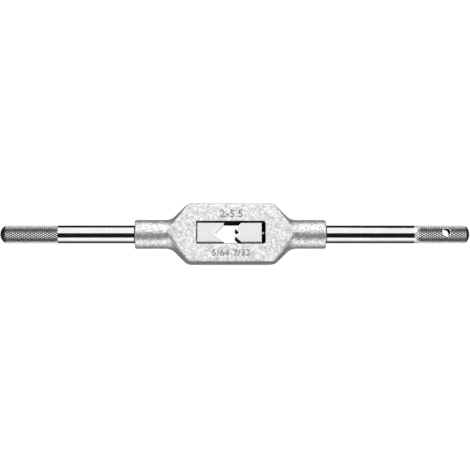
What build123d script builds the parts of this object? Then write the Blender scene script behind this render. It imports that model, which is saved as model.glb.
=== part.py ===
"""Adjustable tap wrench for squares of 2.1 to 5.5 mm, 180 mm long.

The wrench lies flat: its axis runs along X and its body faces look up and down.
The origin is on the resting face, below the middle of the overall length.
Units are millimetres, and the moving jaw is drawn almost fully open.
"""

import os
from math import radians, sqrt, tan

from build123d import *

os.makedirs("parts", exist_ok=True)

# ---- whole tool
overall_length = 180.0
body_thickness = 12.0
axis_height = body_thickness / 2
tool_left = -overall_length / 2
tool_right = overall_length / 2

# ---- body: a six-sided plate between two round collars
plate_centre = -1.85
middle_half_length = 28.45
middle_half_height = 11.6
middle_slope = 45.0
middle_corner_radius = 4.0
face_half_length = 25.05
face_half_height = 11.1
face_slope = 51.0
face_corner_radius = 3.0
plate_point_radius = 2.0
plate_edge_radius = 0.9
collar_radius = 5.5
collar_left = -38.6
collar_right = 34.45
collar_edge_radius = 0.6
flare_radius = 5.0
flare_height = body_thickness - 0.2
window_left = -15.15
window_right = 11.0
window_right_low = 10.2
window_height = 8.4
window_left_radius = 0.2
window_right_radius = 0.8

# ---- jaws
jaw_height = 7.5
jaw_thickness = 11.0
jaw_bevel = 0.4
jaw_floor = axis_height - jaw_thickness / 2
fixed_jaw_back = window_left + 0.2
fixed_jaw_tip = -4.6
moving_jaw_back = 9.7
moving_jaw_tip = -0.35
moving_jaw_nose_height = 2.9

# ---- handles
handle_radius = 3.4
fixed_dome_height = 2.1
adjusting_dome_height = 1.5
fixed_handle_seat = -19.0
spigot_radius = 2.0
spigot_tip = -10.4
spigot_chamfer = 0.4

# ---- adjusting screw: M6 x 1 thread, grooved nose held in the moving jaw
thread_radius = 3.0
thread_gap = 0.05
thread_start = 11.9
thread_chamfer = 0.5
thread_shoulder = 30.5
counterbore_left = 23.0
shank_gap = 0.08
nose_radius = 2.0
nose_gap = 0.06
nose_tip = 3.9
nose_bore_end = 3.8
groove_radius = 1.3
groove_width = 1.8
groove_centre = 6.2

# ---- spring pins, and the cross hole for a tommy bar
pin_radius = 0.75
pin_wall = 0.3
pin_slot_width = 0.35
pin_low_end = jaw_floor + 0.3
pin_high_end = axis_height + 2.2
fixed_pin_x = -12.4
groove_pin_y = groove_radius + pin_radius + 0.05
bar_hole_radius = 1.5
bar_hole_chamfer = 0.35
bar_hole_x = 80.8
bar_hole_offset = 0.5

# ---- working planes
tool_axis = Axis((0, 0, axis_height), (1, 0, 0))
axis_plane = Plane.XY.offset(axis_height)
profile_plane = Plane(origin=(0, 0, axis_height), x_dir=(1, 0, 0), z_dir=(0, -1, 0))
jaw_plane = Plane.XY.offset(jaw_floor)
pin_plane = Plane.XY.offset(pin_low_end)


def cross_plane(x):
    """Plane across the tool at x, facing the adjusting end."""
    return Plane(origin=(x, 0, axis_height), x_dir=(0, 1, 0), z_dir=(1, 0, 0))


def hexagon(half_length, half_height, slope):
    """Corners of the plate's outline: two points on the axis, four shoulders between."""
    shoulder = half_length - half_height / tan(radians(slope))
    return (
        (-half_length, 0),
        (-shoulder, -half_height),
        (shoulder, -half_height),
        (half_length, 0),
        (shoulder, half_height),
        (-shoulder, half_height),
    )


# ================================================================ body
middle_corners = hexagon(middle_half_length, middle_half_height, middle_slope)
face_corners = hexagon(face_half_length, face_half_height, face_slope)

# collars, each with a concave flare that ends on the plate's 45 degree flanks
with BuildPart() as collars:
    for side, collar_end in ((-1, collar_left), (1, collar_right)):
        plate_point = plate_centre + side * middle_half_length
        flare_end_radius = collar_radius + flare_radius * (1 - sqrt(0.5))
        flare_end = plate_point - side * flare_end_radius
        flare_start = flare_end + side * flare_radius * sqrt(0.5)
        rim_radius = collar_radius - collar_edge_radius
        barrel_end = collar_end - side * collar_edge_radius
        with BuildSketch(profile_plane):
            with BuildLine():
                rim = Line((collar_end, 0), (collar_end, rim_radius))
                TangentArc(rim @ 1, (barrel_end, collar_radius), tangent=(0, 1))
                barrel = Line((barrel_end, collar_radius), (flare_start, collar_radius))
                flare = TangentArc(
                    barrel @ 1, (flare_end, flare_end_radius), tangent=(-side, 0)
                )
                Polyline(flare @ 1, (flare_end, 0), rim @ 0)
            make_face()
        revolve(axis=tool_axis)
    with Locations((0, 0, axis_height)):
        Box(overall_length, overall_length, flare_height, mode=Mode.INTERSECT)

with BuildPart() as body:
    # six-sided plate: widest at the parting line, drafted to a smaller face each way
    for side in (-1, 1):
        face_plane = Plane.XY.offset(axis_height + side * body_thickness / 2)
        for plane, corners, corner_radius in (
            (axis_plane, middle_corners, middle_corner_radius),
            (face_plane, face_corners, face_corner_radius),
        ):
            with BuildSketch(plane) as outline:
                with Locations((plate_centre, 0)):
                    Polygon(*corners, align=None)
                by_length = outline.vertices().sort_by(Axis.X)
                fillet([by_length[0], by_length[-1]], radius=plate_point_radius)
                by_height = outline.vertices().group_by(Axis.Y)
                fillet(by_height[0] + by_height[-1], radius=corner_radius)
        loft(ruled=True)
    flat_faces = body.faces().filter_by(Axis.Z)
    fillet(flat_faces.edges(), radius=plate_edge_radius)
    add(collars.part)

    # window for the jaws, its end wall at the adjusting side drafted towards the bottom
    for height, right_end in ((0, window_right_low), (body_thickness, window_right)):
        with BuildSketch(Plane.XY.offset(height)) as window:
            with Locations(((window_left + right_end) / 2, 0)):
                Rectangle(right_end - window_left, window_height)
            by_length = window.vertices().group_by(Axis.X)
            fillet(by_length[0], radius=window_left_radius)
            fillet(window.vertices().group_by(Axis.X)[-1], radius=window_right_radius)
    loft(ruled=True, mode=Mode.SUBTRACT)

    # handle seat and spigot hole on one side, tapped hole and counterbore on the other
    for radius, x_start, x_end in (
        (handle_radius, collar_left, fixed_handle_seat),
        (spigot_radius, fixed_handle_seat, window_left),
        (thread_radius, moving_jaw_back, counterbore_left),
        (handle_radius + shank_gap, counterbore_left, collar_right),
    ):
        with BuildSketch(cross_plane(x_start)):
            Circle(radius)
        extrude(amount=x_end - x_start, mode=Mode.SUBTRACT)
body.part.label = "body"
export_step(body.part, "parts/body.step")


# ================================================================ handles
# fixed handle: domed end, straight rod, spigot through the body wall into the fixed jaw
with BuildPart() as fixed_handle:
    with BuildSketch(profile_plane):
        with BuildLine():
            rim = (tool_left + fixed_dome_height, handle_radius)
            dome = TangentArc((tool_left, 0), rim, tangent=(0, 1))
            Polyline(
                dome @ 1,
                (fixed_handle_seat, handle_radius),
                (fixed_handle_seat, spigot_radius),
                (spigot_tip - spigot_chamfer, spigot_radius),
                (spigot_tip, spigot_radius - spigot_chamfer),
                (spigot_tip, 0),
                dome @ 0,
            )
        make_face()
    revolve(axis=tool_axis)
    # half hole that the fixed jaw's pin passes through
    with BuildSketch(pin_plane):
        with Locations((fixed_pin_x, 0)):
            Circle(pin_radius)
    extrude(amount=pin_high_end - pin_low_end, mode=Mode.SUBTRACT)
fixed_handle.part.label = "fixed_handle"
export_step(fixed_handle.part, "parts/fixed_handle.step")

# adjusting handle: rod, thread, and a grooved nose that turns in the moving jaw
with BuildPart() as adjusting_handle:
    groove_left = groove_centre - groove_width / 2
    groove_right = groove_centre + groove_width / 2
    screw_radius = thread_radius - thread_gap
    with BuildSketch(profile_plane):
        with BuildLine():
            rim = (tool_right - adjusting_dome_height, handle_radius)
            dome = TangentArc((tool_right, 0), rim, tangent=(0, 1))
            Polyline(
                dome @ 1,
                (thread_shoulder, handle_radius),
                (thread_shoulder, screw_radius),
                (thread_start + thread_chamfer, screw_radius),
                (thread_start, screw_radius - thread_chamfer),
                (thread_start, nose_radius),
                (groove_right, nose_radius),
                (groove_right, groove_radius),
                (groove_left, groove_radius),
                (groove_left, nose_radius),
                (nose_tip, nose_radius),
                (nose_tip, 0),
                dome @ 0,
            )
        make_face()
    revolve(axis=tool_axis)
    # cross hole near the end, drilled a little off the axis and chamfered at both mouths
    for side in (-1, 1):
        mouth = axis_plane.offset(side * handle_radius)
        with BuildSketch(axis_plane):
            with Locations((bar_hole_x, bar_hole_offset)):
                Circle(bar_hole_radius)
        extrude(amount=side * 2 * handle_radius, mode=Mode.SUBTRACT)
        with BuildSketch(mouth):
            with Locations((bar_hole_x, bar_hole_offset)):
                Circle(bar_hole_radius + bar_hole_chamfer)
        with BuildSketch(mouth.offset(-side * bar_hole_chamfer)):
            with Locations((bar_hole_x, bar_hole_offset)):
                Circle(bar_hole_radius)
        loft(mode=Mode.SUBTRACT)
adjusting_handle.part.label = "adjusting_handle"
export_step(adjusting_handle.part, "parts/adjusting_handle.step")


# ================================================================ jaws
half_jaw = jaw_height / 2

# fixed jaw: a full 90 degree V across its front, spigot hole and pin hole at the back
with BuildPart() as fixed_jaw:
    with BuildSketch(jaw_plane):
        Polygon(
            (fixed_jaw_back, -half_jaw),
            (fixed_jaw_tip, -half_jaw),
            (fixed_jaw_tip - half_jaw, 0),
            (fixed_jaw_tip, half_jaw),
            (fixed_jaw_back, half_jaw),
            align=None,
        )
    extrude(amount=jaw_thickness)
    flat_faces = fixed_jaw.faces().filter_by(Axis.Z)
    chamfer(flat_faces.edges(), length=jaw_bevel)
    with BuildSketch(cross_plane(fixed_jaw_back)):
        Circle(spigot_radius)
    extrude(amount=spigot_tip + 0.2 - fixed_jaw_back, mode=Mode.SUBTRACT)
    with BuildSketch(jaw_plane):
        with Locations((fixed_pin_x, 0)):
            Circle(pin_radius)
    extrude(amount=pin_high_end + 0.3 - jaw_floor, mode=Mode.SUBTRACT)
fixed_jaw.part.label = "fixed_jaw"
export_step(fixed_jaw.part, "parts/fixed_jaw.step")

# moving jaw: bevelled nose that nests in the fixed V, with a small V of its own
with BuildPart() as moving_jaw:
    half_nose = moving_jaw_nose_height / 2
    nose_root = moving_jaw_tip + half_jaw - half_nose
    with BuildSketch(jaw_plane):
        Polygon(
            (moving_jaw_back, -half_jaw),
            (moving_jaw_back, half_jaw),
            (nose_root, half_jaw),
            (moving_jaw_tip, half_nose),
            (moving_jaw_tip + half_nose, 0),
            (moving_jaw_tip, -half_nose),
            (nose_root, -half_jaw),
            align=None,
        )
    extrude(amount=jaw_thickness)
    flat_faces = moving_jaw.faces().filter_by(Axis.Z)
    chamfer(flat_faces.edges(), length=jaw_bevel)
    # blind bore for the screw's nose, and two pin holes that straddle its groove
    with BuildSketch(cross_plane(nose_bore_end)):
        Circle(nose_radius + nose_gap)
    extrude(amount=moving_jaw_back - nose_bore_end, mode=Mode.SUBTRACT)
    with BuildSketch(jaw_plane):
        with Locations((groove_centre, groove_pin_y), (groove_centre, -groove_pin_y)):
            Circle(pin_radius)
    extrude(amount=pin_high_end + 0.3 - jaw_floor, mode=Mode.SUBTRACT)
moving_jaw.part.label = "moving_jaw"
export_step(moving_jaw.part, "parts/moving_jaw.step")


# ================================================================ slotted spring pins
for node, x, y in (
    ("fixed_jaw_pin", fixed_pin_x, 0),
    ("moving_jaw_pin_upper", groove_centre, groove_pin_y),
    ("moving_jaw_pin_lower", groove_centre, -groove_pin_y),
):
    with BuildPart() as spring_pin:
        with BuildSketch(pin_plane):
            with Locations((x, y)):
                Circle(pin_radius)
                Circle(pin_radius - pin_wall, mode=Mode.SUBTRACT)
            with Locations((x - pin_radius, y)):
                Rectangle(pin_radius, pin_slot_width, mode=Mode.SUBTRACT)
        extrude(amount=pin_high_end - pin_low_end)
    spring_pin.part.label = node
    export_step(spring_pin.part, "parts/" + node + ".step")
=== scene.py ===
"""Adjustable tap wrench: looks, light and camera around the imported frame. Metres.

The cast body is a signed distance field turned into a mesh, both handles are turned
meshes with real knurls and a real thread, and the jaws and pins are refined copies of
the CAD nodes. Lengths named below are in millimetres and repeat the CAD model's own
dimensions. The look differs in its edge rounds, the slope of the plate's faces towards
the collars, FACE_HALF_LENGTH (25.05 in the CAD) and BAR_HOLE_X (80.8 in the CAD).
"""

import math

import bmesh
import bpy
import numpy as np
import openvdb
from mathutils import Matrix, Vector


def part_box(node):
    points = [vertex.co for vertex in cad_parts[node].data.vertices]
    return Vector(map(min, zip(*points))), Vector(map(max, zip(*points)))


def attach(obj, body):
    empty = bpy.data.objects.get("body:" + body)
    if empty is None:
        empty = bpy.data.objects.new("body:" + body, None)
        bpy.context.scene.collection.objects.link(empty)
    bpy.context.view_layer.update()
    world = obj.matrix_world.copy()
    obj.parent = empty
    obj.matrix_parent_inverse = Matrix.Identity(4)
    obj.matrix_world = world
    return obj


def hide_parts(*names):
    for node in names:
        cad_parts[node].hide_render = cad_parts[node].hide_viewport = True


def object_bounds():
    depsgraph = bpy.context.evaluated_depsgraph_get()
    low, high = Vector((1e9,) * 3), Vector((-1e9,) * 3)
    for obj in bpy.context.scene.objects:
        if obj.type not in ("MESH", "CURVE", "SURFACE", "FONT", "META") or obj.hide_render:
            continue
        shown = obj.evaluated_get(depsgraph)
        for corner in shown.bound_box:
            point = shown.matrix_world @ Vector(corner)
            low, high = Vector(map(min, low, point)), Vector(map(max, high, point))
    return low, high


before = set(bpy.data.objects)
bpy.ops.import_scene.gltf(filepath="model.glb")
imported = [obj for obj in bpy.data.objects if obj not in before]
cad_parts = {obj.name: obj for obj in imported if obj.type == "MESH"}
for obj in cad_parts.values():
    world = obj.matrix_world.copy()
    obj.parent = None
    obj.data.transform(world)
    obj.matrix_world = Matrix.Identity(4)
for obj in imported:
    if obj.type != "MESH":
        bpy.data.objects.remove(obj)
cad_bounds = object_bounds()

MM = 0.001
LOW = [value / MM for value in cad_bounds[0]]
HIGH = [value / MM for value in cad_bounds[1]]
AXIS_HEIGHT = (LOW[2] + HIGH[2]) / 2
TOOL_LEFT = LOW[0]
TOOL_RIGHT = HIGH[0]
SEED = 7


def node_box(node):
    """Lowest and highest corners of a CAD node, in millimetres."""
    return [[value / MM for value in corner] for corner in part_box(node)]


# ---------------------------------------------------------------- dimensions, mm
BODY_LOW, BODY_HIGH = node_box("body")
FIXED_JAW_LOW, FIXED_JAW_HIGH = node_box("fixed_jaw")
MOVING_JAW_LOW, MOVING_JAW_HIGH = node_box("moving_jaw")
HALF_THICKNESS = (HIGH[2] - LOW[2]) / 2

PLATE_CENTRE = -1.85
MIDDLE_HALF_LENGTH = 28.45
MIDDLE_HALF_HEIGHT = BODY_HIGH[1]
MIDDLE_SLOPE = 45.0
FACE_HALF_LENGTH = 25.3
FACE_HALF_HEIGHT = 11.1
FACE_SLOPE = 51.0
PLATE_CORNER_BLEND = 0.9
PLATE_EDGE_RADIUS = 0.8
COLLAR_RADIUS = 5.5
COLLAR_EDGE_RADIUS = 0.5
COLLAR_BLEND = 1.7
CREST_BLEND = 0.6
CREST_DROP = 0.45
CREST_START = 18.0
CREST_RUN = 8.0
COLLAR_OVERLAP = 7.0
PARTING_RIDGE = 0.08
PARTING_WIDTH = 0.3

WINDOW_LEFT = -15.15
WINDOW_RIGHT = 11.0
WINDOW_RIGHT_LOW = 10.2
WINDOW_HALF_HEIGHT = 4.2
WINDOW_LEFT_RADIUS = 0.2
WINDOW_RIGHT_RADIUS = 0.8
EDGE_BREAK = 0.2
WINDOW_EDGE_BREAK = 0.05
CAVITY_SKIN = 0.22

HANDLE_RADIUS = 3.4
HANDLE_CLEARANCE = 0.08
HANDLE_SEAT = -19.0
COUNTERBORE_LEFT = 23.0
THREAD_BORE_RADIUS = 3.0
SPIGOT_RADIUS = 2.0
MOUTH_CHAMFER = 0.45


# ---------------------------------------------------------------- mesh helpers
def add_object(name, mesh):
    obj = bpy.data.objects.new(name, mesh)
    bpy.context.scene.collection.objects.link(obj)
    return obj


def smooth_by_angle(mesh, degrees):
    mesh.shade_smooth()
    mesh.set_sharp_from_angle(angle=math.radians(degrees))


def apply_modifiers(obj):
    """Replaces the object's mesh with its evaluated one and drops the modifiers."""
    bpy.context.view_layer.update()
    depsgraph = bpy.context.evaluated_depsgraph_get()
    mesh = bpy.data.meshes.new_from_object(obj.evaluated_get(depsgraph))
    obj.modifiers.clear()
    old = obj.data
    obj.data = mesh
    bpy.data.meshes.remove(old)
    mesh.name = obj.name


# ---------------------------------------------------------------- node helpers
def new_material(name):
    material = bpy.data.materials.new(name)
    material.use_nodes = True
    nodes = material.node_tree.nodes
    return material, nodes, material.node_tree.links, nodes["Principled BSDF"]


def object_coordinates(nodes):
    return nodes.new("ShaderNodeTexCoord").outputs["Object"]


def noise(nodes, links, vector, scale, detail=3.0, stretch=None):
    """Noise texture on object coordinates; scale is in cells per metre."""
    if stretch:
        mapping = nodes.new("ShaderNodeMapping")
        mapping.inputs["Scale"].default_value = stretch
        links.new(vector, mapping.inputs["Vector"])
        vector = mapping.outputs["Vector"]
    texture = nodes.new("ShaderNodeTexNoise")
    texture.inputs["Scale"].default_value = scale
    texture.inputs["Detail"].default_value = detail
    links.new(vector, texture.inputs["Vector"])
    return texture.outputs["Fac"]


def remap(nodes, links, value, from_min, from_max, to_min, to_max):
    node = nodes.new("ShaderNodeMapRange")
    for name, number in (
        ("From Min", from_min),
        ("From Max", from_max),
        ("To Min", to_min),
        ("To Max", to_max),
    ):
        node.inputs[name].default_value = number
    links.new(value, node.inputs["Value"])
    return node.outputs["Result"]


def math_node(nodes, links, operation, first, second=None):
    node = nodes.new("ShaderNodeMath")
    node.operation = operation
    for socket, value in zip(node.inputs, (first, second)):
        if isinstance(value, (int, float)):
            socket.default_value = value
        elif value is not None:
            links.new(value, socket)
    return node.outputs["Value"]


def mix_numbers(nodes, links, factor, first, second):
    node = nodes.new("ShaderNodeMix")
    node.data_type = "FLOAT"
    links.new(factor, node.inputs["Factor"])
    for socket, value in ((node.inputs["A"], first), (node.inputs["B"], second)):
        if isinstance(value, (int, float)):
            socket.default_value = value
        else:
            links.new(value, socket)
    return node.outputs["Result"]


def grey(nodes, links, value):
    """Grey colour from a number."""
    node = nodes.new("ShaderNodeCombineColor")
    for name in ("Red", "Green", "Blue"):
        links.new(value, node.inputs[name])
    return node.outputs["Color"]


def bump(nodes, links, shader, heights):
    """Chains bump nodes; heights holds (value, strength, distance in metres)."""
    normal = None
    for value, strength, distance in heights:
        node = nodes.new("ShaderNodeBump")
        node.inputs["Strength"].default_value = strength
        node.inputs["Distance"].default_value = distance
        links.new(value, node.inputs["Height"])
        if normal is not None:
            links.new(normal, node.inputs["Normal"])
        normal = node.outputs["Normal"]
    links.new(normal, shader.inputs["Normal"])


def axis_distance(nodes, links, vector):
    """Distance from the tool's axis, in millimetres."""
    parts = nodes.new("ShaderNodeSeparateXYZ")
    links.new(vector, parts.inputs["Vector"])
    across = parts.outputs["Y"]
    upward = math_node(nodes, links, "SUBTRACT", parts.outputs["Z"], AXIS_HEIGHT * MM)
    across = math_node(nodes, links, "MULTIPLY", across, across)
    upward = math_node(nodes, links, "MULTIPLY", upward, upward)
    total = math_node(nodes, links, "ADD", across, upward)
    distance = math_node(nodes, links, "SQRT", total)
    return math_node(nodes, links, "DIVIDE", distance, MM)


# ---------------------------------------------------------------- materials
# cells are per metre; a tone or roughness pair goes from one end of its pattern to the other
MOTTLE_CELLS = 1050
PIT_CELLS = 1900
GRAIN_CELLS = 3200
PATCH_CELLS = 160
PIT_SHADE = 0.55
SIDE_SHADE_TONE = 0.84
CAVITY_SHADE_TONE = 0.01
EDGE_POINTINESS = (0.515, 0.56)
EDGE_LIGHT = 0.06
# below the face, where its finish begins and where it is complete
FACE_DEPTHS = (0.18, 0.05)
SIDE_METALLIC = 0.86
FACE_METALLIC = 0.3
FACE_ROUGHNESS_RISE = 0.15
ZINC_ROUGHNESS = (0.36, 0.48)

CHROME_TONE = (0.48, 0.52)
CHROME_ROUGHNESS = (0.05, 0.11)
# knurl pairs go from the grooves to the crests
KNURL_SHADE_AND_WEAR_TONE = (0.015, 0.95)
KNURL_ROUGHNESS = (0.5, 0.24)
GROUND_TONE = (0.74, 0.83)
GROUND_ROUGHNESS = (0.30, 0.42)
# emission strengths: painted reflection of the white table on the V flanks, painted highlight on
# the bevels
TABLE_REFLECTION_GLOW = 0.4
BEVEL_HIGHLIGHT_GLOW = 0.12


def beyond(nodes, links, value, centre, half):
    """How far a coordinate lies outside centre +/- half; 0 inside."""
    away = math_node(nodes, links, "SUBTRACT", value, centre)
    away = math_node(nodes, links, "ABSOLUTE", away)
    away = math_node(nodes, links, "SUBTRACT", away, half)
    return math_node(nodes, links, "MAXIMUM", away, 0.0)


def cavity_shade_mask(nodes, links, vector):
    """1 on the walls of the window and of the bores, which are painted near black as shade."""
    parts = nodes.new("ShaderNodeSeparateXYZ")
    links.new(vector, parts.inputs["Vector"])
    centre = (WINDOW_LEFT + WINDOW_RIGHT) / 2 * MM
    half_length = (WINDOW_RIGHT - WINDOW_LEFT) / 2 * MM
    right_side = math_node(nodes, links, "GREATER_THAN", parts.outputs["X"], centre)
    radius = mix_numbers(
        nodes, links, right_side, WINDOW_LEFT_RADIUS * MM, WINDOW_RIGHT_RADIUS * MM
    )
    half_length = math_node(nodes, links, "SUBTRACT", half_length, radius)
    half_height = math_node(nodes, links, "SUBTRACT", WINDOW_HALF_HEIGHT * MM, radius)
    along = beyond(nodes, links, parts.outputs["X"], centre, half_length)
    across = beyond(nodes, links, parts.outputs["Y"], 0.0, half_height)
    along = math_node(nodes, links, "MULTIPLY", along, along)
    across = math_node(nodes, links, "MULTIPLY", across, across)
    outside = math_node(nodes, links, "SQRT", math_node(nodes, links, "ADD", along, across))
    edge = math_node(nodes, links, "ADD", radius, CAVITY_SKIN * MM)
    window = math_node(nodes, links, "LESS_THAN", outside, edge)
    distance = axis_distance(nodes, links, vector)
    bores = math_node(nodes, links, "LESS_THAN", distance, HANDLE_RADIUS + MOUTH_CHAMFER)
    return math_node(nodes, links, "MAXIMUM", window, bores)


def face_mask(nodes, links, vector):
    """1 on the body's flat faces, which are tumbled duller than its sides and collars; the sides
    and collars are painted darker as shade.
    """
    parts = nodes.new("ShaderNodeSeparateXYZ")
    links.new(vector, parts.inputs["Vector"])
    height = math_node(nodes, links, "SUBTRACT", parts.outputs["Z"], AXIS_HEIGHT * MM)
    height = math_node(nodes, links, "ABSOLUTE", height)
    start, end = ((HALF_THICKNESS - depth) * MM for depth in FACE_DEPTHS)
    return remap(nodes, links, height, start, end, 0, 1)


def cast_zinc(name, light, dark):
    """Tumbled die casting: mottled grey with small dark pits, brighter edges."""
    material, nodes, links, shader = new_material(name)
    vector = object_coordinates(nodes)
    mottle = noise(nodes, links, vector, MOTTLE_CELLS, 3)
    pits = noise(nodes, links, vector, PIT_CELLS, 2)
    grain = noise(nodes, links, vector, GRAIN_CELLS, 3)
    patches = noise(nodes, links, vector, PATCH_CELLS, 3)
    tone = remap(nodes, links, mottle, 0.34, 0.66, dark, light)
    pitted = remap(nodes, links, pits, 0.3, 0.44, PIT_SHADE, 1.0)
    tone = math_node(nodes, links, "MULTIPLY", tone, pitted)
    shade = remap(nodes, links, patches, 0.3, 0.7, 0.96, 1.03)
    tone = math_node(nodes, links, "MULTIPLY", tone, shade)
    face = face_mask(nodes, links, vector)
    # sides and collars painted darker than the faces: painted shade
    side_shaded_tone = math_node(nodes, links, "MULTIPLY", tone, SIDE_SHADE_TONE)
    tone = mix_numbers(nodes, links, face, side_shaded_tone, tone)
    geometry = nodes.new("ShaderNodeNewGeometry")
    pointiness = geometry.outputs["Pointiness"]
    edge = remap(nodes, links, pointiness, *EDGE_POINTINESS, 0.0, EDGE_LIGHT)
    tone = math_node(nodes, links, "ADD", tone, edge)
    # window and bore walls painted near black: painted shade
    cavity = cavity_shade_mask(nodes, links, vector)
    tone = mix_numbers(nodes, links, cavity, tone, CAVITY_SHADE_TONE)
    links.new(grey(nodes, links, tone), shader.inputs["Base Color"])
    metal = mix_numbers(nodes, links, face, SIDE_METALLIC, FACE_METALLIC)
    links.new(metal, shader.inputs["Metallic"])
    rough = remap(nodes, links, grain, 0.3, 0.7, *ZINC_ROUGHNESS)
    rise = math_node(nodes, links, "MULTIPLY", face, FACE_ROUGHNESS_RISE)
    rough = math_node(nodes, links, "ADD", rough, rise)
    links.new(rough, shader.inputs["Roughness"])
    bump(nodes, links, shader, ((mottle, 0.6, 0.0001), (grain, 0.4, 0.00002)))
    return material


def bright_chrome():
    """Turned and plated rod: faint turning rings and hairline wear under the gloss."""
    material, nodes, links, shader = new_material("bright_chrome")
    vector = object_coordinates(nodes)
    smears = noise(nodes, links, vector, 260, 3)
    rings = noise(nodes, links, vector, 1000, 2, (9.0, 0.05, 0.05))
    tone = remap(nodes, links, smears, 0.3, 0.7, *CHROME_TONE)
    links.new(grey(nodes, links, tone), shader.inputs["Base Color"])
    shader.inputs["Metallic"].default_value = 1.0
    rough = remap(nodes, links, smears, 0.3, 0.7, *CHROME_ROUGHNESS)
    links.new(rough, shader.inputs["Roughness"])
    bump(nodes, links, shader, ((rings, 0.12, 0.000004),))
    return material


def knurled_chrome():
    """Plated knurl: bright worn crests; towards the groove bottoms the tone is painted near black
    as shade.
    """
    material, nodes, links, shader = new_material("knurled_chrome")
    vector = object_coordinates(nodes)
    distance = axis_distance(nodes, links, vector)
    stain = noise(nodes, links, vector, 500, 3)
    deep, shallow = HANDLE_RADIUS - 0.2, HANDLE_RADIUS - 0.03
    # grooves painted near black as shade, crests bright from wear
    tone = remap(nodes, links, distance, deep, shallow, *KNURL_SHADE_AND_WEAR_TONE)
    shade = remap(nodes, links, stain, 0.3, 0.7, 0.88, 1.08)
    tone = math_node(nodes, links, "MULTIPLY", tone, shade)
    links.new(grey(nodes, links, tone), shader.inputs["Base Color"])
    shader.inputs["Metallic"].default_value = 0.9
    floor = HANDLE_RADIUS - 0.26
    rough = remap(nodes, links, distance, floor, HANDLE_RADIUS, *KNURL_ROUGHNESS)
    links.new(rough, shader.inputs["Roughness"])
    bump(nodes, links, shader, ((stain, 0.2, 0.00002),))
    return material


def plain_metal(name, tone_low, tone_high, rough_low, rough_high, metallic, glow=0.0):
    """Steel with a slightly uneven film; glow makes the part glow as painted light: the white
    table's reflection on the V flanks, a highlight on the bevels.
    """
    material, nodes, links, shader = new_material(name)
    vector = object_coordinates(nodes)
    film = noise(nodes, links, vector, 700, 4)
    scuffs = noise(nodes, links, vector, 2600, 3)
    tone = remap(nodes, links, film, 0.3, 0.7, tone_low, tone_high)
    links.new(grey(nodes, links, tone), shader.inputs["Base Color"])
    shader.inputs["Metallic"].default_value = metallic
    rough = remap(nodes, links, scuffs, 0.3, 0.7, rough_low, rough_high)
    links.new(rough, shader.inputs["Roughness"])
    bump(nodes, links, shader, ((scuffs, 0.15, 0.00001),))
    shader.inputs["Emission Color"].default_value = (1, 1, 1, 1)
    shader.inputs["Emission Strength"].default_value = glow
    return material


def ground_steel():
    """Hardened steel, surface ground: fine straight marks along the tool."""
    material, nodes, links, shader = new_material("ground_steel")
    vector = object_coordinates(nodes)
    marks = noise(nodes, links, vector, 1000, 4, (0.12, 6.0, 0.12))
    patches = noise(nodes, links, vector, 350, 2)
    tone = remap(nodes, links, marks, 0.25, 0.75, *GROUND_TONE)
    shade = remap(nodes, links, patches, 0.3, 0.7, 0.97, 1.02)
    tone = math_node(nodes, links, "MULTIPLY", tone, shade)
    links.new(grey(nodes, links, tone), shader.inputs["Base Color"])
    shader.inputs["Metallic"].default_value = 0.6
    rough = remap(nodes, links, marks, 0.25, 0.75, *GROUND_ROUGHNESS)
    links.new(rough, shader.inputs["Roughness"])
    bump(nodes, links, shader, ((marks, 0.15, 0.000008),))
    return material


ZINC = cast_zinc("cast_zinc", 0.89, 0.53)
# the raised marks are painted dark: painted shade of their strokes' edges
MARK_ZINC_PAINTED_SHADE = cast_zinc("cast_zinc_marks_painted_shade", 0.26, 0.16)
CHROME = bright_chrome()
KNURL = knurled_chrome()
STEEL = ground_steel()
# near-black steel on the jaw sides and in the cross hole: painted shade
BLACK_SHADE_STEEL = plain_metal("black_shade_steel", 0.012, 0.03, 0.35, 0.5, 0.4)
OILED = plain_metal("oiled_steel", 0.22, 0.34, 0.16, 0.26, 1.0)
# near-black tone of the domed ends and of the rings where the rods enter the collars: painted
# shade
TURNED_END_PAINTED_SHADE = plain_metal("turned_end_painted_shade", 0.028, 0.05, 0.3, 0.45, 1.0)
# V flanks glow: painted reflection of the white table
LAPPED_PAINTED_REFLECTION = plain_metal("lapped_steel_painted_reflection", 0.82, 0.9, 0.3, 0.4, 0.1, TABLE_REFLECTION_GLOW)
# bevels and chamfers glow: painted highlight
BRIGHT_EDGE_PAINTED_HIGHLIGHT = plain_metal("bright_edge_painted_highlight", 0.85, 0.93, 0.35, 0.45, 0.1, BEVEL_HIGHLIGHT_GLOW)
PIN_STEEL = plain_metal("spring_steel", 0.2, 0.3, 0.28, 0.4, 1.0)


# ---------------------------------------------------------------- cast body
VOXEL = 0.25
MARGIN = 1.0
RIPPLE_SHORTEST = 0.8
RIPPLE_LONGEST = 4.0
RIPPLE_HEIGHT = 0.012
CUT_OVERLAP = 1.0
THREAD_BORE_LEFT = WINDOW_RIGHT - 2


def body_grid():
    """Coordinates of the field's cells: x and y as in the frame, z from the axis plane."""
    ranges = []
    for axis, shift in ((0, 0), (1, 0), (2, AXIS_HEIGHT)):
        low = BODY_LOW[axis] - shift - MARGIN
        high = BODY_HIGH[axis] - shift + MARGIN
        count = int((high - low) / VOXEL) + 1
        ranges.append(low + VOXEL * np.arange(count))
    return ranges, np.meshgrid(*ranges, indexing="ij")


def smooth_max(first, second, blend):
    overlap = np.maximum(blend - np.abs(first - second), 0) / blend
    return np.maximum(first, second) + overlap * overlap * blend / 4


def smooth_min(first, second, blend):
    return -smooth_max(-first, -second, blend)


def round_corner(first, second, radius):
    """Intersection of two shapes whose common edge has this radius."""
    inner = np.minimum(np.maximum(first, second), -radius)
    outer = np.hypot(np.maximum(first + radius, 0), np.maximum(second + radius, 0))
    return inner + outer


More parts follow.
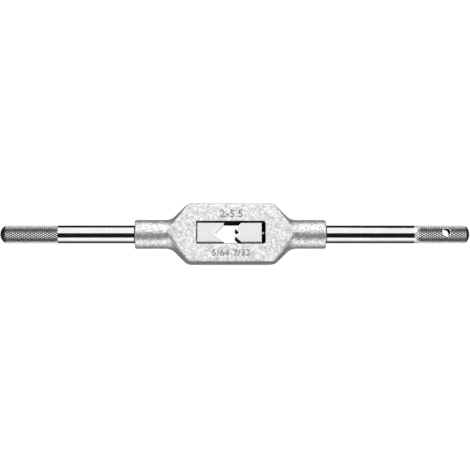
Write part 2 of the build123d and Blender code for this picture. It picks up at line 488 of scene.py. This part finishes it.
def plate_field(x, y, z):
    """Six-sided plate, widest at the parting line and drafted both ways.

    Its faces slope down to the collars at the two points.
    """
    share = np.abs(z) / HALF_THICKNESS
    height = MIDDLE_HALF_HEIGHT - PARTING_RIDGE
    height = height + (FACE_HALF_HEIGHT - height) * share
    length = MIDDLE_HALF_LENGTH + (FACE_HALF_LENGTH - MIDDLE_HALF_LENGTH) * share
    middle_run = MIDDLE_HALF_HEIGHT / math.tan(math.radians(MIDDLE_SLOPE))
    face_run = FACE_HALF_HEIGHT / math.tan(math.radians(FACE_SLOPE))
    run = middle_run + (face_run - middle_run) * share
    flank = (np.abs(x - PLATE_CENTRE) - length) * height + np.abs(y) * run
    flank = flank / np.hypot(height, run)
    outline = smooth_max(flank, np.abs(y) - height, PLATE_CORNER_BLEND)
    outline = outline - PARTING_RIDGE * np.exp(-((z / PARTING_WIDTH) ** 2))
    ramp = np.clip((np.abs(x - PLATE_CENTRE) - CREST_START) / CREST_RUN, 0, 1)
    top = HALF_THICKNESS - CREST_DROP * ramp * ramp
    return round_corner(outline, np.abs(z) - top, PLATE_EDGE_RADIUS)


def collar_field(x, distance):
    """Both round collars, which end inside the plate's points."""
    inner_left = PLATE_CENTRE - MIDDLE_HALF_LENGTH + COLLAR_OVERLAP
    inner_right = PLATE_CENTRE + MIDDLE_HALF_LENGTH - COLLAR_OVERLAP
    left = np.maximum(BODY_LOW[0] - x, x - inner_left)
    right = np.maximum(inner_right - x, x - BODY_HIGH[0])
    return round_corner(distance - COLLAR_RADIUS, np.minimum(left, right), COLLAR_EDGE_RADIUS)


def window_field(x, y, z):
    """Through window whose right end wall is drafted towards the bottom."""
    share = (z + HALF_THICKNESS) / (2 * HALF_THICKNESS)
    right = WINDOW_RIGHT_LOW + (WINDOW_RIGHT - WINDOW_RIGHT_LOW) * share
    centre = (WINDOW_LEFT + right) / 2
    half_length = (right - WINDOW_LEFT) / 2
    radius = np.where(x > centre, WINDOW_RIGHT_RADIUS, WINDOW_LEFT_RADIUS)
    return round_corner(np.abs(x - centre) - half_length, np.abs(y) - WINDOW_HALF_HEIGHT, radius)


def bore_field(x, distance, radius, start, end):
    return np.maximum(distance - radius, np.maximum(start - x, x - end))


def mouth_field(x, distance, face, inward):
    """45 degree countersink of a handle bore, from the collar's end face inwards."""
    depth = (x - face) * inward
    cone = distance - (HANDLE_RADIUS + MOUTH_CHAMFER - depth)
    return np.maximum(cone * math.sqrt(0.5), depth - MOUTH_CHAMFER)


def cast_ripple(shape):
    """Seeded noise with wavelengths between the shortest and the longest ripple."""
    random = np.random.default_rng(SEED)
    spectrum = np.fft.rfftn(random.standard_normal(shape))
    frequencies = [np.fft.fftfreq(count, VOXEL) for count in shape[:2]]
    frequencies.append(np.fft.rfftfreq(shape[2], VOXEL))
    fx, fy, fz = np.meshgrid(*frequencies, indexing="ij")
    frequency = np.sqrt(fx**2 + fy**2 + fz**2)
    keep = np.exp(-((frequency * RIPPLE_SHORTEST) ** 4)) * (frequency > 1 / RIPPLE_LONGEST)
    ripple = np.fft.irfftn(spectrum * keep, s=shape)
    return RIPPLE_HEIGHT * ripple / ripple.std()


def body_field(x, y, z):
    """Signed distance to the cast body, in millimetres."""
    distance = np.hypot(y, z)
    rise = np.clip(np.abs(z) / HALF_THICKNESS * 2 - 1, 0, 1)
    blend = COLLAR_BLEND + (CREST_BLEND - COLLAR_BLEND) * rise * rise
    field = smooth_min(plate_field(x, y, z), collar_field(x, distance), blend)
    field = np.maximum(field, np.abs(z) - HALF_THICKNESS)
    field = field + cast_ripple(field.shape)
    field = smooth_max(field, -window_field(x, y, z), WINDOW_EDGE_BREAK)
    seat_radius = HANDLE_RADIUS + HANDLE_CLEARANCE
    spigot_radius = SPIGOT_RADIUS + HANDLE_CLEARANCE
    spigot_span = (HANDLE_SEAT - CUT_OVERLAP, WINDOW_LEFT + CUT_OVERLAP)
    thread_span = (THREAD_BORE_LEFT, COUNTERBORE_LEFT + CUT_OVERLAP)
    cuts = (
        bore_field(x, distance, seat_radius, BODY_LOW[0] - MARGIN, HANDLE_SEAT),
        bore_field(x, distance, spigot_radius, *spigot_span),
        bore_field(x, distance, THREAD_BORE_RADIUS, *thread_span),
        bore_field(x, distance, seat_radius, COUNTERBORE_LEFT, BODY_HIGH[0] + MARGIN),
        mouth_field(x, distance, BODY_LOW[0], 1),
        mouth_field(x, distance, BODY_HIGH[0], -1),
    )
    for cut in cuts:
        field = smooth_max(field, -cut, EDGE_BREAK)
    return field


def add_body():
    ranges, (x, y, z) = body_grid()
    grid = openvdb.FloatGrid()
    grid.copyFromArray(body_field(x, y, z).astype(np.float32))
    points, triangles, quads = grid.convertToPolygons(isovalue=0.0, adaptivity=0.0)
    corner = np.array([ranges[0][0], ranges[1][0], ranges[2][0] + AXIS_HEIGHT])
    points = (np.asarray(points, float) * VOXEL + corner) * MM
    mesh = bpy.data.meshes.new("cast_body")
    faces = [tuple(face) for face in quads] + [tuple(face) for face in triangles]
    mesh.from_pydata(points.tolist(), [], faces)
    mesh.update()
    tidy = bmesh.new()
    tidy.from_mesh(mesh)
    bmesh.ops.recalc_face_normals(tidy, faces=tidy.faces)
    tidy.to_mesh(mesh)
    tidy.free()
    mesh.shade_smooth()
    mesh.materials.append(ZINC)
    body = add_object("cast_body", mesh)
    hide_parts("body")
    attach(body, "fixed_side")


# ---------------------------------------------------------------- turned handles
SEGMENTS = 220
ANGLES = np.linspace(0, 2 * math.pi, SEGMENTS, endpoint=False)
FIXED_DOME = 2.1
ADJUSTING_DOME = 1.5
KNURL_COUNT = 22
KNURL_LENGTH = 1.45
KNURL_STEPS = 8
KNURL_DEPTH = 0.3
KNURL_FLAT = 0.24
KNURL_STEP_OUT = 0.12
KNURL_SHALLOWEST = 0.3
THREAD_PITCH = 1.0
THREAD_STEPS = 8
THREAD_CREST = 2.95
THREAD_ROOT = 2.34
THREAD_HALF_TOOTH = 0.375
THREAD_FLANK = 0.3125
DOME_STEPS = 14
HANDLE_CHAMFER = 0.3
SHARP_ANGLE = 28


def dome_rings(tip, rim, limits):
    """Rings of a spherical end, from near the tip to the rim, inside the limiting radii."""
    height = abs(rim - tip)
    inward = math.copysign(1, rim - tip)
    sphere = (HANDLE_RADIUS**2 + height**2) / (2 * height)
    rings = []
    for step in range(1, DOME_STEPS + 1):
        radius = HANDLE_RADIUS * math.sin(math.pi / 2 * step / DOME_STEPS)
        drop = sphere - math.sqrt(sphere**2 - radius**2)
        rings.append((tip + inward * drop, np.minimum(radius, limits)))
    return rings


def groove_share(turns):
    """1 at the bottom of a V groove, 0 on the flat crest between two grooves."""
    distance = np.abs(turns - np.round(turns)) * 2
    return np.clip(1 - distance / (1 - KNURL_FLAT), 0, 1)


def knurl_rings(start, end, run_out):
    """Diamond knurl: two crossing families of V grooves, shallower over the run-out."""
    count = round((end - start) / KNURL_LENGTH * KNURL_STEPS)
    around = KNURL_COUNT * ANGLES / (2 * math.pi)
    rings = []
    for x in np.linspace(start, end, count + 1):
        along = (x - start) / KNURL_LENGTH
        groove = np.maximum(groove_share(around + along), groove_share(around - along))
        fade = min((x - start) / run_out, 1.0) if run_out else 1.0
        depth = KNURL_DEPTH * (KNURL_SHALLOWEST + (1 - KNURL_SHALLOWEST) * fade)
        rings.append((x, HANDLE_RADIUS - depth * groove))
    return rings


def thread_rings(start, end, lead_in):
    """Right-hand 60 degree thread with a chamfered start."""
    count = round((end - start) / THREAD_PITCH * THREAD_STEPS)
    rings = []
    for x in np.linspace(start, end, count + 1):
        turns = x / THREAD_PITCH - ANGLES / (2 * math.pi)
        distance = np.abs(turns - np.round(turns))
        height = np.clip((THREAD_HALF_TOOTH - distance) / THREAD_FLANK, 0, 1)
        radius = THREAD_ROOT + (THREAD_CREST - THREAD_ROOT) * height
        rings.append((x, np.minimum(radius, THREAD_CREST - lead_in + (x - start))))
    return rings


def plain_rings(points):
    return [(x, np.full(SEGMENTS, radius)) for x, radius in points]


def turned_mesh(name, rings, left_tip, right_tip):
    """Closed mesh from rings ordered along +X, with a point at each end."""
    points = [(left_tip, 0, AXIS_HEIGHT)]
    for x, radii in rings:
        across = radii * np.cos(ANGLES)
        upward = AXIS_HEIGHT + radii * np.sin(ANGLES)
        points.extend(zip(np.full(SEGMENTS, x), across, upward))
    points.append((right_tip, 0, AXIS_HEIGHT))
    last = len(points) - 1
    faces = []
    for i in range(SEGMENTS):
        after = (i + 1) % SEGMENTS
        faces.append((0, 1 + after, 1 + i))
        faces.append((last, last - SEGMENTS + i, last - SEGMENTS + after))
        for ring in range(len(rings) - 1):
            near = 1 + ring * SEGMENTS
            far = near + SEGMENTS
            faces.append((near + i, near + after, far + after, far + i))
    mesh = bpy.data.meshes.new(name)
    mesh.from_pydata([Vector(point) * MM for point in points], [], faces)
    mesh.update()
    return mesh


def paint_zones(mesh, zones):
    """Material by x: zones holds (upper x limit in mm, material) in order."""
    materials = []
    for _, material in zones:
        if material not in materials:
            materials.append(material)
            mesh.materials.append(material)
    for polygon in mesh.polygons:
        x = polygon.center.x / MM
        for limit, material in zones:
            if x < limit:
                polygon.material_index = materials.index(material)
                break


def place_handle(obj, node, body):
    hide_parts(node)
    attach(obj, body)


FIXED_KNURL_START = TOOL_LEFT + FIXED_DOME
FIXED_KNURL_END = -68.1
# span of the dark ring on a rod at a collar's end face: painted shade
JOINT_SHADE_OUTSIDE = 0.4
JOINT_SHADE_INSIDE = 0.6
SPIGOT_TIP = -10.4
SPIGOT_CHAMFER = 0.4


def add_fixed_handle():
    knurl = knurl_rings(FIXED_KNURL_START, FIXED_KNURL_END, 0)
    rings = dome_rings(TOOL_LEFT, FIXED_KNURL_START, knurl[0][1]) + knurl[1:]
    rings += plain_rings((
        (FIXED_KNURL_END + KNURL_STEP_OUT, HANDLE_RADIUS),
        (BODY_LOW[0] - JOINT_SHADE_OUTSIDE, HANDLE_RADIUS),
        (BODY_LOW[0] + JOINT_SHADE_INSIDE, HANDLE_RADIUS),
        (HANDLE_SEAT - HANDLE_CHAMFER, HANDLE_RADIUS),
        (HANDLE_SEAT, HANDLE_RADIUS - HANDLE_CHAMFER),
        (HANDLE_SEAT, SPIGOT_RADIUS),
        (SPIGOT_TIP - SPIGOT_CHAMFER, SPIGOT_RADIUS),
        (SPIGOT_TIP, SPIGOT_RADIUS - SPIGOT_CHAMFER),
    ))
    mesh = turned_mesh("fixed_grip", rings, TOOL_LEFT, SPIGOT_TIP)
    zones = (
        (FIXED_KNURL_START, TURNED_END_PAINTED_SHADE),
        (FIXED_KNURL_END + KNURL_STEP_OUT, KNURL),
        (BODY_LOW[0] - JOINT_SHADE_OUTSIDE, CHROME),
        # dark ring at the collar's mouth: painted shade
        (BODY_LOW[0] + JOINT_SHADE_INSIDE, TURNED_END_PAINTED_SHADE),
        (HANDLE_SEAT - 0.2, CHROME),
        (0, OILED),
    )
    paint_zones(mesh, zones)
    smooth_by_angle(mesh, SHARP_ANGLE)
    place_handle(add_object("fixed_grip", mesh), "fixed_handle", "fixed_side")


ADJUSTING_KNURL_START = 68.5
ADJUSTING_KNURL_END = TOOL_RIGHT - ADJUSTING_DOME
ADJUSTING_RUN_OUT = 2.7
THREAD_START = 11.9
THREAD_LEAD_IN = 0.5
THREAD_SHOULDER = 30.5
NOSE_TIP = 3.9
NOSE_RADIUS = SPIGOT_RADIUS
NOSE_CHAMFER = 0.2
GROOVE_LEFT = 5.3
GROOVE_RIGHT = 7.1
GROOVE_RADIUS = 1.3
BAR_HOLE_X = 80.9
BAR_HOLE_OFFSET = 0.5
BAR_HOLE_RADIUS = 1.5
TOP_CHAMFER = 0.4
BOTTOM_CHAMFER = 0.12
HOLE_POINTS = 48
CUTTER_RISE = 0.8


def hole_ring(radius, side, rise):
    """Ring around the cross hole that follows the handle's surface, plus a rise."""
    points = []
    for angle in np.linspace(0, 2 * math.pi, HOLE_POINTS, endpoint=False):
        across = BAR_HOLE_OFFSET + radius * math.sin(angle)
        surface = math.sqrt(HANDLE_RADIUS**2 - across**2)
        height = AXIS_HEIGHT + side * (surface + rise)
        points.append(Vector((BAR_HOLE_X + radius * math.cos(angle), across, height)) * MM)
    return points


def hole_cutter():
    """Cross hole, countersunk at the marked side and only deburred at the other."""
    wide = BAR_HOLE_RADIUS + TOP_CHAMFER
    narrow = BAR_HOLE_RADIUS + BOTTOM_CHAMFER
    rings = (
        hole_ring(narrow, -1, CUTTER_RISE),
        hole_ring(narrow, -1, 0.0),
        hole_ring(BAR_HOLE_RADIUS, -1, -BOTTOM_CHAMFER),
        hole_ring(BAR_HOLE_RADIUS, 1, -TOP_CHAMFER),
        hole_ring(wide, 1, 0.0),
        hole_ring(wide, 1, CUTTER_RISE),
    )
    count = len(rings[0])
    points = [point for ring in rings for point in ring]
    faces = [tuple(reversed(range(count)))]
    faces.append(tuple(range(len(points) - count, len(points))))
    for ring in range(len(rings) - 1):
        for i in range(count):
            after = (i + 1) % count
            near = ring * count
            far = near + count
            faces.append((near + i, near + after, far + after, far + i))
    mesh = bpy.data.meshes.new("hole_cutter")
    mesh.from_pydata(points, [], faces)
    # the hole's wall is painted black as shade, its chamfers glow as a painted highlight
    mesh.materials.append(BLACK_SHADE_STEEL)
    mesh.materials.append(BRIGHT_EDGE_PAINTED_HIGHLIGHT)
    for polygon in mesh.polygons:
        radius = math.hypot(
            polygon.center.x / MM - BAR_HOLE_X, polygon.center.y / MM - BAR_HOLE_OFFSET
        )
        on_chamfer = BAR_HOLE_RADIUS + 0.03 < radius < wide
        polygon.material_index = int(on_chamfer)
    return add_object("hole_cutter", mesh)


def cut_hole(obj):
    cutter = hole_cutter()
    modifier = obj.modifiers.new("cross_hole", "BOOLEAN")
    modifier.operation = "DIFFERENCE"
    modifier.solver = "MANIFOLD"
    modifier.object = cutter
    modifier.material_mode = "TRANSFER"
    apply_modifiers(obj)
    bpy.data.objects.remove(cutter)


def add_adjusting_handle():
    rings = plain_rings((
        (NOSE_TIP, NOSE_RADIUS - NOSE_CHAMFER),
        (NOSE_TIP + NOSE_CHAMFER, NOSE_RADIUS),
        (GROOVE_LEFT, NOSE_RADIUS),
        (GROOVE_LEFT, GROOVE_RADIUS),
        (GROOVE_RIGHT, GROOVE_RADIUS),
        (GROOVE_RIGHT, NOSE_RADIUS),
        (THREAD_START, NOSE_RADIUS),
    ))
    rings += thread_rings(THREAD_START, THREAD_SHOULDER, THREAD_LEAD_IN)
    rings += plain_rings((
        (THREAD_SHOULDER, HANDLE_RADIUS - HANDLE_CHAMFER),
        (THREAD_SHOULDER + HANDLE_CHAMFER, HANDLE_RADIUS),
        (BODY_HIGH[0] - JOINT_SHADE_INSIDE, HANDLE_RADIUS),
        (BODY_HIGH[0] + JOINT_SHADE_OUTSIDE, HANDLE_RADIUS),
        (ADJUSTING_KNURL_START - KNURL_STEP_OUT, HANDLE_RADIUS),
    ))
    knurl = knurl_rings(ADJUSTING_KNURL_START, ADJUSTING_KNURL_END, ADJUSTING_RUN_OUT)
    rings += knurl[:-1]
    rings += reversed(dome_rings(TOOL_RIGHT, ADJUSTING_KNURL_END, knurl[-1][1]))
    mesh = turned_mesh("adjusting_grip", rings, NOSE_TIP, TOOL_RIGHT)
    zones = (
        (THREAD_SHOULDER + 0.1, OILED),
        (BODY_HIGH[0] - JOINT_SHADE_INSIDE, CHROME),
        # dark ring at the collar's mouth: painted shade
        (BODY_HIGH[0] + JOINT_SHADE_OUTSIDE, TURNED_END_PAINTED_SHADE),
        (ADJUSTING_KNURL_START, CHROME),
        (ADJUSTING_KNURL_END, KNURL),
        (TOOL_RIGHT + 1, TURNED_END_PAINTED_SHADE),
    )
    paint_zones(mesh, zones)
    obj = add_object("adjusting_grip", mesh)
    cut_hole(obj)
    smooth_by_angle(obj.data, SHARP_ANGLE)
    place_handle(obj, "adjusting_handle", "adjusting_handle")


# ---------------------------------------------------------------- jaws and pins
JAW_EDGE_ROUND = 0.05
PIN_EDGE_ROUND = 0.04
MERGE_DISTANCE = 0.0005
UPRIGHT_LIMIT = 0.3
FLAT_LIMIT = 0.97
JAW_FRONT_START = FIXED_JAW_LOW[0] + 3


def refined_copy(node, name, edge_width):
    """Copy of a CAD node with its facets merged and a small round on each edge."""
    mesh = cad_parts[node].data.copy()
    mesh.name = name
    mesh.materials.clear()
    shape = bmesh.new()
    shape.from_mesh(mesh)
    bmesh.ops.remove_doubles(shape, verts=shape.verts, dist=MERGE_DISTANCE * MM)
    bmesh.ops.dissolve_limit(
        shape, angle_limit=math.radians(1), verts=shape.verts, edges=shape.edges
    )
    shape.to_mesh(mesh)
    shape.free()
    obj = add_object(name, mesh)
    modifier = obj.modifiers.new("edges", "BEVEL")
    modifier.width = edge_width * MM
    modifier.segments = 2
    modifier.limit_method = "ANGLE"
    modifier.angle_limit = math.radians(30)
    mesh.shade_smooth()
    obj.modifiers.new("flat_faces", "WEIGHTED_NORMAL").weight = 90
    apply_modifiers(obj)
    return obj


def paint_jaw(obj, side_material):
    """Ground flat faces, bevels that glow as a painted highlight; side_material picks an upright
    face's material.
    """
    for material in (STEEL, BLACK_SHADE_STEEL, LAPPED_PAINTED_REFLECTION, BRIGHT_EDGE_PAINTED_HIGHLIGHT):
        obj.data.materials.append(material)
    for polygon in obj.data.polygons:
        level = abs(polygon.normal.z)
        if level < UPRIGHT_LIMIT:
            material = side_material(polygon)
        elif level < FLAT_LIMIT:
            material = BRIGHT_EDGE_PAINTED_HIGHLIGHT
        else:
            continue
        polygon.material_index = obj.data.materials.find(material.name)


def fixed_jaw_side_shading(polygon):
    """The V flanks glow with a painted reflection; the other upright sides are painted black as
    shade.
    """
    in_front = polygon.center.x / MM > JAW_FRONT_START
    slanted = polygon.normal.x > 0.3 and abs(polygon.normal.y) > 0.3
    return LAPPED_PAINTED_REFLECTION if in_front and slanted else BLACK_SHADE_STEEL


def moving_jaw_side_shading(polygon):
    # every upright face of the moving jaw is painted black as shade
    return BLACK_SHADE_STEEL


def add_jaws():
    # upright jaw faces get black painted shade; the fixed jaw's V flanks get a glowing painted
    # reflection
    for node, name, body, finish in (
        ("fixed_jaw", "fixed_jaw_block", "fixed_side", fixed_jaw_side_shading),
        ("moving_jaw", "moving_jaw_block", "moving_jaw", moving_jaw_side_shading),
    ):
        jaw = refined_copy(node, name, JAW_EDGE_ROUND)
        paint_jaw(jaw, finish)
        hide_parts(node)
        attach(jaw, body)


def add_pins():
    for node, body in (
        ("fixed_jaw_pin", "fixed_side"),
        ("moving_jaw_pin_upper", "moving_jaw"),
        ("moving_jaw_pin_lower", "moving_jaw"),
    ):
        pin = refined_copy(node, node + "_rolled", PIN_EDGE_ROUND)
        pin.data.materials.append(PIN_STEEL)
        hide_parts(node)
        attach(pin, body)


# ---------------------------------------------------------------- raised capacity marks
MARK_HEIGHT = 0.1
MARK_SINK = 0.12
MARK_BEVEL = 0.03
MARK_OFFSET = -0.01
MARK_SPACING = 1.08


def text_mesh(name, text, centre, size):
    curve = bpy.data.curves.new(name, "FONT")
    curve.body = text
    curve.size = size * MM
    curve.align_x = "CENTER"
    curve.align_y = "CENTER"
    curve.space_character = MARK_SPACING
    curve.extrude = (MARK_HEIGHT + MARK_SINK) / 2 * MM
    curve.bevel_depth = MARK_BEVEL * MM
    curve.bevel_resolution = 1
    curve.offset = MARK_OFFSET * MM
    obj = add_object(name, curve)
    middle = HIGH[2] + (MARK_HEIGHT - MARK_SINK) / 2
    obj.location = Vector((centre[0], centre[1], middle)) * MM
    bpy.context.view_layer.update()
    depsgraph = bpy.context.evaluated_depsgraph_get()
    mesh = bpy.data.meshes.new_from_object(obj.evaluated_get(depsgraph))
    mesh.transform(obj.matrix_world)
    bpy.data.objects.remove(obj)
    return mesh


def add_marks():
    for name, text, centre, size in (
        ("metric_capacity", "2-5.5", (-1.8, 7.1), 4.0),
        ("inch_capacity", "5/64-7/32", (-2.0, -7.9), 3.5),
    ):
        mesh = text_mesh(name, text, centre, size)
        mesh.materials.clear()
        mesh.materials.append(MARK_ZINC_PAINTED_SHADE)
        obj = add_object(name, mesh)
        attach(obj, "fixed_side")


add_body()
add_fixed_handle()
add_adjusting_handle()
add_jaws()
add_pins()
add_marks()


# ---------------------------------------------------------------- floor
FLOOR_SIDE_METRES = 6
FLOOR_GAP = 0.02


def floor_material():
    """Glowing floor that shows as even white, nearly without a shadow."""
    material, _, _, shader = new_material("pale_floor")
    shader.inputs["Base Color"].default_value = (0.03, 0.03, 0.03, 1)
    shader.inputs["Roughness"].default_value = 0.9
    shader.inputs["Specular IOR Level"].default_value = 0.0
    shader.inputs["Emission Color"].default_value = (1, 1, 1, 1)
    shader.inputs["Emission Strength"].default_value = 1.0
    return material


def add_floor():
    height = cad_bounds[0].z - FLOOR_GAP * MM
    bpy.ops.mesh.primitive_plane_add(size=FLOOR_SIDE_METRES, location=(0, 0, height))
    floor = bpy.context.object
    floor.name = "floor"
    floor.data.materials.append(floor_material())
    floor.visible_glossy = False


add_floor()


# ---------------------------------------------------------------- light
# a span is in degrees from straight up, positive towards +Y; lengths are in metres
UPPER_SPAN = (8, 90)
LOWER_SPAN = (-52, -90)
UPPER_RADIANCE = 1.8
LOWER_RADIANCE = 1.85
SOFTBOX_DISTANCE = 0.6
SOFTBOX_LENGTH = 1.6
FILL = 0.4
TABLE_GLOW = 1.85
TABLE_FADE_POWER = 3.0
END_GLOW = 0.3
END_WALL_START = 0.6
END_WALL_FULL = 0.95
ROOM_GLOW = 0.02


def softbox(name, angle, width, radiance):
    """Rectangle light seen from the tool at an angle from straight up, towards +Y if positive."""
    light = bpy.data.lights.new(name, "AREA")
    light.shape = "RECTANGLE"
    light.size = SOFTBOX_LENGTH
    light.size_y = width
    light.energy = radiance * math.pi * width * SOFTBOX_LENGTH
    obj = bpy.data.objects.new(name, light)
    bpy.context.scene.collection.objects.link(obj)
    a = math.radians(angle)
    target = Vector((0, 0, AXIS_HEIGHT * MM))
    obj.location = target + Vector((0, math.sin(a), math.cos(a))) * SOFTBOX_DISTANCE
    obj.rotation_euler = (-a, 0, 0)
    obj.visible_camera = False


def directional_glow(nodes, links):
    """Strength of what mirror-like faces see beside the softboxes.

    The lit table towards -Y fades from the horizon to below the tool, and
    bright side walls stand at both ends of the tool.
    """
    parts = nodes.new("ShaderNodeSeparateXYZ")
    links.new(nodes.new("ShaderNodeTexCoord").outputs["Generated"], parts.inputs["Vector"])
    x, y, z = (parts.outputs[name] for name in "XYZ")
    fade = math_node(nodes, links, "ADD", z, 1.0)
    fade = math_node(nodes, links, "MAXIMUM", fade, 0.0)
    fade = math_node(nodes, links, "POWER", fade, TABLE_FADE_POWER)
    below = math_node(nodes, links, "LESS_THAN", z, 0.0)
    front = math_node(nodes, links, "LESS_THAN", y, 0.0)
    table = math_node(nodes, links, "MULTIPLY", fade, below)
    table = math_node(nodes, links, "MULTIPLY", table, front)
    table = math_node(nodes, links, "MULTIPLY", table, TABLE_GLOW)
    sideways = math_node(nodes, links, "ABSOLUTE", x)
    ends = remap(nodes, links, sideways, END_WALL_START, END_WALL_FULL, 0, END_GLOW)
    glow = math_node(nodes, links, "MAXIMUM", table, ends)
    return math_node(nodes, links, "MAXIMUM", glow, ROOM_GLOW)


def background(nodes, strength):
    node = nodes.new("ShaderNodeBackground")
    node.inputs["Color"].default_value = (1, 1, 1, 1)
    node.inputs["Strength"].default_value = strength
    return node


def add_world():
    """White for the camera, soft fill for matte faces, shaped glow for glossy ones."""
    world = bpy.data.worlds.new("studio")
    bpy.context.scene.world = world
    world.use_nodes = True
    nodes = world.node_tree.nodes
    links = world.node_tree.links
    nodes.remove(nodes["Background"])
    fill = background(nodes, FILL)
    seen = background(nodes, 1.0)
    mirrored = background(nodes, 0.0)
    links.new(directional_glow(nodes, links), mirrored.inputs["Strength"])
    path = nodes.new("ShaderNodeLightPath")
    shader = fill.outputs["Background"]
    for ray, other in (("Is Glossy Ray", mirrored), ("Is Camera Ray", seen)):
        mix = nodes.new("ShaderNodeMixShader")
        links.new(path.outputs[ray], mix.inputs["Fac"])
        links.new(shader, mix.inputs[1])
        links.new(other.outputs["Background"], mix.inputs[2])
        shader = mix.outputs["Shader"]
    links.new(shader, nodes["World Output"].inputs["Surface"])


def add_lights():
    for name, (near, far), radiance in (
        ("upper_softbox", UPPER_SPAN, UPPER_RADIANCE),
        ("lower_softbox", LOWER_SPAN, LOWER_RADIANCE),
    ):
        half = math.radians(abs(far - near) / 2)
        width = 2 * SOFTBOX_DISTANCE * math.tan(half)
        softbox(name, (near + far) / 2, width, radiance)
    add_world()


add_lights()


# ---------------------------------------------------------------- camera
CAMERA_DISTANCE = 0.68
CAMERA_ELEVATION = 82.0
CAMERA_FOOT_X = -0.023
CAMERA_TARGET = Vector((-0.0003, -0.00023, AXIS_HEIGHT * MM))
FRAME_WIDTH = 0.18028
SENSOR_WIDTH = 36.0


def add_camera():
    camera = bpy.data.cameras.new("camera")
    camera.sensor_width = SENSOR_WIDTH
    camera.lens = SENSOR_WIDTH * CAMERA_DISTANCE / FRAME_WIDTH
    obj = bpy.data.objects.new("camera", camera)
    bpy.context.scene.collection.objects.link(obj)
    e = math.radians(CAMERA_ELEVATION)
    back = -CAMERA_DISTANCE * math.cos(e)
    height = CAMERA_DISTANCE * math.sin(e)
    obj.location = CAMERA_TARGET + Vector((CAMERA_FOOT_X, back, height))
    forward = (CAMERA_TARGET - obj.location).normalized()
    right = (Vector((1, 0, 0)) - forward * forward.x).normalized()
    up = right.cross(forward)
    obj.rotation_euler = Matrix((right, up, -forward)).transposed().to_euler()
    bpy.context.scene.camera = obj


add_camera()
bpy.context.scene.view_settings.view_transform = "Standard"
